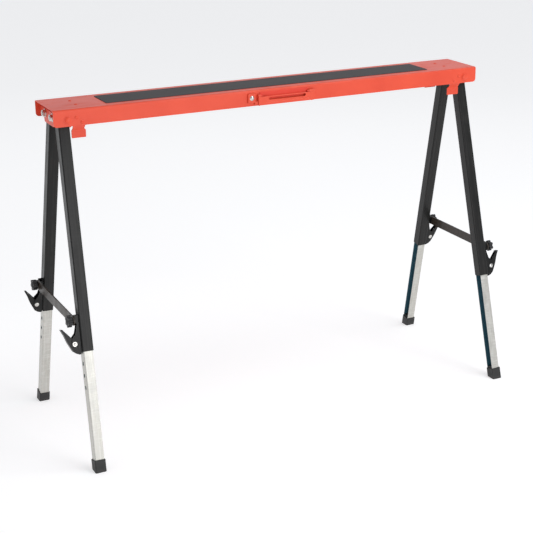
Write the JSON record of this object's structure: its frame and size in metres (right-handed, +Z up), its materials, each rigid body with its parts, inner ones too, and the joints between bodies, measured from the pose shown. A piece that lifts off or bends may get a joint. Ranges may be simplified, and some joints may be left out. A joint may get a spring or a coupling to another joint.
{
  "type": "folding sawhorse",
  "caption": "Folding steel sawhorse: red channel beam with a rubber grip strip, splayed black legs with telescopic zinc lower sections, spring latches, straps and knobs.",
  "frame": {"origin": "on the floor under the middle of the beam, at the bottom centre of the bounding box", "axes": "+Z up, beam along X, +X to the right-hand end seen from the side with the carry handle, which faces -Y"},
  "size_m": [1.0688, 0.4174, 0.7245],
  "materials": {
    "red_paint": "semi-gloss red powder coat",
    "black_paint": "gloss black enamel",
    "galvanised_steel": "bright zinc plated",
    "zinc_steel": "bright zinc plated",
    "grip_rubber": "matt, fine grain",
    "foot_rubber": "matt",
    "black_plastic": "satin"
  },
  "bodies": {
    "beam": {"beam_channel": "red_paint", "grip_strip": "grip_rubber", "top_rivets": "red_paint", "doubler_plates": "red_paint", "pivot_rivets_left": "red_paint", "pivot_rivets_right": "red_paint", "tab_rivets": "red_paint", "handle_base": "red_paint", "handle_pins": "zinc_steel", "handle_keeper": "red_paint", "keeper_screw": "zinc_steel"},
    "handle": {"handle_grip": "red_paint"},
    "bracket_left": {"bracket_left": "red_paint", "leg_bolts_left": "zinc_steel", "leg_nuts_left": "zinc_steel"},
    "leg_front_left": {"outer_leg_front_left": "black_paint", "latch_bracket_front_left": "black_paint", "latch_pin_front_left": "zinc_steel", "latch_spring_front_left": "zinc_steel"},
    "inner_front_left": {"inner_leg_front_left": "galvanised_steel", "foot_front_left": "foot_rubber"},
    "lever_front_left": {"latch_lever_front_left": "black_paint"},
    "knob_front_left": {"strap_knob_front_left": "black_plastic"},
    "tab_front_left": {"release_tab_front_left": "red_paint"},
    "leg_back_left": {"outer_leg_back_left": "black_paint", "latch_bracket_back_left": "black_paint", "latch_pin_back_left": "zinc_steel", "latch_spring_back_left": "zinc_steel"},
    "inner_back_left": {"inner_leg_back_left": "galvanised_steel", "foot_back_left": "foot_rubber"},
    "lever_back_left": {"latch_lever_back_left": "black_paint"},
    "knob_back_left": {"strap_knob_back_left": "black_plastic"},
    "tab_back_left": {"release_tab_back_left": "red_paint"},
    "strap_left": {"strap_left": "black_paint"},
    "bracket_right": {"bracket_right": "red_paint", "leg_bolts_right": "zinc_steel", "leg_nuts_right": "zinc_steel"},
    "leg_front_right": {"outer_leg_front_right": "black_paint", "latch_bracket_front_right": "black_paint", "latch_pin_front_right": "zinc_steel", "latch_spring_front_right": "zinc_steel"},
    "inner_front_right": {"inner_leg_front_right": "galvanised_steel", "foot_front_right": "foot_rubber"},
    "lever_front_right": {"latch_lever_front_right": "black_paint"},
    "knob_front_right": {"strap_knob_front_right": "black_plastic"},
    "tab_front_right": {"release_tab_front_right": "red_paint"},
    "leg_back_right": {"outer_leg_back_right": "black_paint", "latch_bracket_back_right": "black_paint", "latch_pin_back_right": "zinc_steel", "latch_spring_back_right": "zinc_steel"},
    "inner_back_right": {"inner_leg_back_right": "galvanised_steel", "foot_back_right": "foot_rubber"},
    "lever_back_right": {"latch_lever_back_right": "black_paint"},
    "knob_back_right": {"strap_knob_back_right": "black_plastic"},
    "tab_back_right": {"release_tab_back_right": "red_paint"},
    "strap_right": {"strap_right": "black_paint"}
  },
  "joints": [
    {"name": "handle_swing", "type": "hinge", "parent": "beam", "child": "handle", "pos_m": [0, -0.065, 0.71], "axis": [-1, 0, 0], "range_deg": [0, 110]},
    {"name": "fold_left", "type": "hinge", "parent": "beam", "child": "bracket_left", "pos_m": [-0.47, 0, 0.7015], "axis": [0, -1, 0], "range_deg": [0, 91.55]},
    {"name": "splay_front_left", "type": "hinge", "parent": "bracket_left", "child": "leg_front_left", "pos_m": [-0.48449, -0.025, 0.70189], "axis": [0.9996, 0, -0.027], "range_deg": [0, 13.7]},
    {"name": "extend_front_left", "type": "slide", "parent": "leg_front_left", "child": "inner_front_left", "axis": [-0.0263, -0.2368, -0.9712], "range_m": [-0.075, 0.075]},
    {"name": "latch_front_left", "type": "hinge", "parent": "leg_front_left", "child": "lever_front_left", "pos_m": [-0.50947, -0.133, 0.25938], "axis": [-0.0064, 0.9715, -0.2368], "range_deg": [0, 14], "stiffness_Nm_per_rad": 0.3, "springref_deg": -8.59, "deforming": ["latch_spring_front_left"]},
    {"name": "knob_turn_front_left", "type": "hinge", "parent": "leg_front_left", "child": "knob_front_left", "pos_m": [-0.51024, -0.12187, 0.30508], "axis": [-0.9996, 0, 0.027], "range_deg": [0, 360]},
    {"name": "tab_press_front_left", "type": "hinge", "parent": "beam", "child": "tab_front_left", "pos_m": [-0.447, -0.0564, 0.711], "axis": [1, 0, 0], "range_deg": [0, 8], "stiffness_Nm_per_rad": 0.5, "springref_deg": -5.73},
    {"name": "splay_back_left", "type": "hinge", "parent": "bracket_left", "child": "leg_back_left", "pos_m": [-0.48449, 0.025, 0.70189], "axis": [-0.9996, 0, 0.027], "range_deg": [0, 13.7]},
    {"name": "extend_back_left", "type": "slide", "parent": "leg_back_left", "child": "inner_back_left", "axis": [-0.0263, 0.2368, -0.9712], "range_m": [-0.075, 0.075]},
    {"name": "latch_back_left", "type": "hinge", "parent": "leg_back_left", "child": "lever_back_left", "pos_m": [-0.50947, 0.133, 0.25938], "axis": [0.0064, 0.9715, 0.2368], "range_deg": [0, 14], "stiffness_Nm_per_rad": 0.3, "springref_deg": -8.59, "deforming": ["latch_spring_back_left"]},
    {"name": "knob_turn_back_left", "type": "hinge", "parent": "leg_back_left", "child": "knob_back_left", "pos_m": [-0.51024, 0.12187, 0.30508], "axis": [-0.9996, 0, 0.027], "range_deg": [0, 360]},
    {"name": "tab_press_back_left", "type": "hinge", "parent": "beam", "child": "tab_back_left", "pos_m": [-0.447, 0.0564, 0.711], "axis": [-1, 0, 0], "range_deg": [0, 8], "stiffness_Nm_per_rad": 0.5, "springref_deg": -5.73},
    {"name": "strap_swing_left", "type": "hinge", "parent": "leg_front_left", "child": "strap_left", "pos_m": [-0.50504, -0.12187, 0.30494], "axis": [0.9996, 0, -0.027], "range_deg": [0, 76.3]},
    {"name": "fold_right", "type": "hinge", "parent": "beam", "child": "bracket_right", "pos_m": [0.47, 0, 0.7015], "axis": [0, 1, 0], "range_deg": [0, 81]},
    {"name": "splay_front_right", "type": "hinge", "parent": "bracket_right", "child": "leg_front_right", "pos_m": [0.48449, -0.025, 0.70189], "axis": [0.9996, 0, 0.027], "range_deg": [0, 13.7]},
    {"name": "extend_front_right", "type": "slide", "parent": "leg_front_right", "child": "inner_front_right", "axis": [0.0263, -0.2368, -0.9712], "range_m": [-0.075, 0.075]},
    {"name": "latch_front_right", "type": "hinge", "parent": "leg_front_right", "child": "lever_front_right", "pos_m": [0.50947, -0.133, 0.25938], "axis": [-0.0064, -0.9715, 0.2368], "range_deg": [0, 14], "stiffness_Nm_per_rad": 0.3, "springref_deg": -8.59, "deforming": ["latch_spring_front_right"]},
    {"name": "knob_turn_front_right", "type": "hinge", "parent": "leg_front_right", "child": "knob_front_right", "pos_m": [0.51024, -0.12187, 0.30508], "axis": [0.9996, 0, 0.027], "range_deg": [0, 360]},
    {"name": "tab_press_front_right", "type": "hinge", "parent": "beam", "child": "tab_front_right", "pos_m": [0.447, -0.0564, 0.711], "axis": [1, 0, 0], "range_deg": [0, 8], "stiffness_Nm_per_rad": 0.5, "springref_deg": -5.73},
    {"name": "splay_back_right", "type": "hinge", "parent": "bracket_right", "child": "leg_back_right", "pos_m": [0.48449, 0.025, 0.70189], "axis": [-0.9996, 0, -0.027], "range_deg": [0, 13.7]},
    {"name": "extend_back_right", "type": "slide", "parent": "leg_back_right", "child": "inner_back_right", "axis": [0.0263, 0.2368, -0.9712], "range_m": [-0.075, 0.075]},
    {"name": "latch_back_right", "type": "hinge", "parent": "leg_back_right", "child": "lever_back_right", "pos_m": [0.50947, 0.133, 0.25938], "axis": [0.0064, -0.9715, -0.2368], "range_deg": [0, 14], "stiffness_Nm_per_rad": 0.3, "springref_deg": -8.59, "deforming": ["latch_spring_back_right"]},
    {"name": "knob_turn_back_right", "type": "hinge", "parent": "leg_back_right", "child": "knob_back_right", "pos_m": [0.51024, 0.12187, 0.30508], "axis": [0.9996, 0, 0.027], "range_deg": [0, 360]},
    {"name": "tab_press_back_right", "type": "hinge", "parent": "beam", "child": "tab_back_right", "pos_m": [0.447, 0.0564, 0.711], "axis": [-1, 0, 0], "range_deg": [0, 8], "stiffness_Nm_per_rad": 0.5, "springref_deg": -5.73},
    {"name": "strap_swing_right", "type": "hinge", "parent": "leg_back_right", "child": "strap_right", "pos_m": [0.50504, 0.12187, 0.30494], "axis": [-0.9996, 0, -0.027], "range_deg": [0, 76.3]}
  ],
  "couplings": [
    {"joint": "splay_front_left", "follows": "fold_left", "ratio": 0.14965},
    {"joint": "splay_back_left", "follows": "fold_left", "ratio": 0.14965},
    {"joint": "strap_swing_left", "follows": "fold_left", "ratio": 0.83342},
    {"joint": "splay_front_right", "follows": "fold_right", "ratio": 0.16914},
    {"joint": "splay_back_right", "follows": "fold_right", "ratio": 0.16914},
    {"joint": "strap_swing_right", "follows": "fold_right", "ratio": 0.94198}
  ]
}
